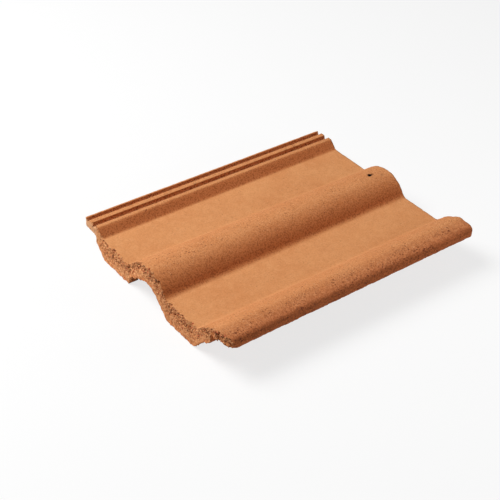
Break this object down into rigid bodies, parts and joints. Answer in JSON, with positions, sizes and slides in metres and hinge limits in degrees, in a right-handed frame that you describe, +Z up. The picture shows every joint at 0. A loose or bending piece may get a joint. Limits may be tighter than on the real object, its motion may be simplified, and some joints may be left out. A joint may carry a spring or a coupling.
{
  "type": "roof tile",
  "caption": "Interlocking concrete roof tile with flat pans between rounded rolls, a ribbed underlock, a hooded overlock, hanging nibs and a nail hole.",
  "frame": {"origin": "on the floor under the middle of the tile, centre of the box's bottom", "axes": "+X across the tile from the underlock to the overlock, +Y from the nose up to the head, +Z up out of the weathered face"},
  "size_m": [0.334, 0.42, 0.0598],
  "materials": {
    "concrete": "matt through-coloured sandy concrete"
  },
  "bodies": {
    "root": {"roof_tile": "concrete"}
  },
  "joints": []
}
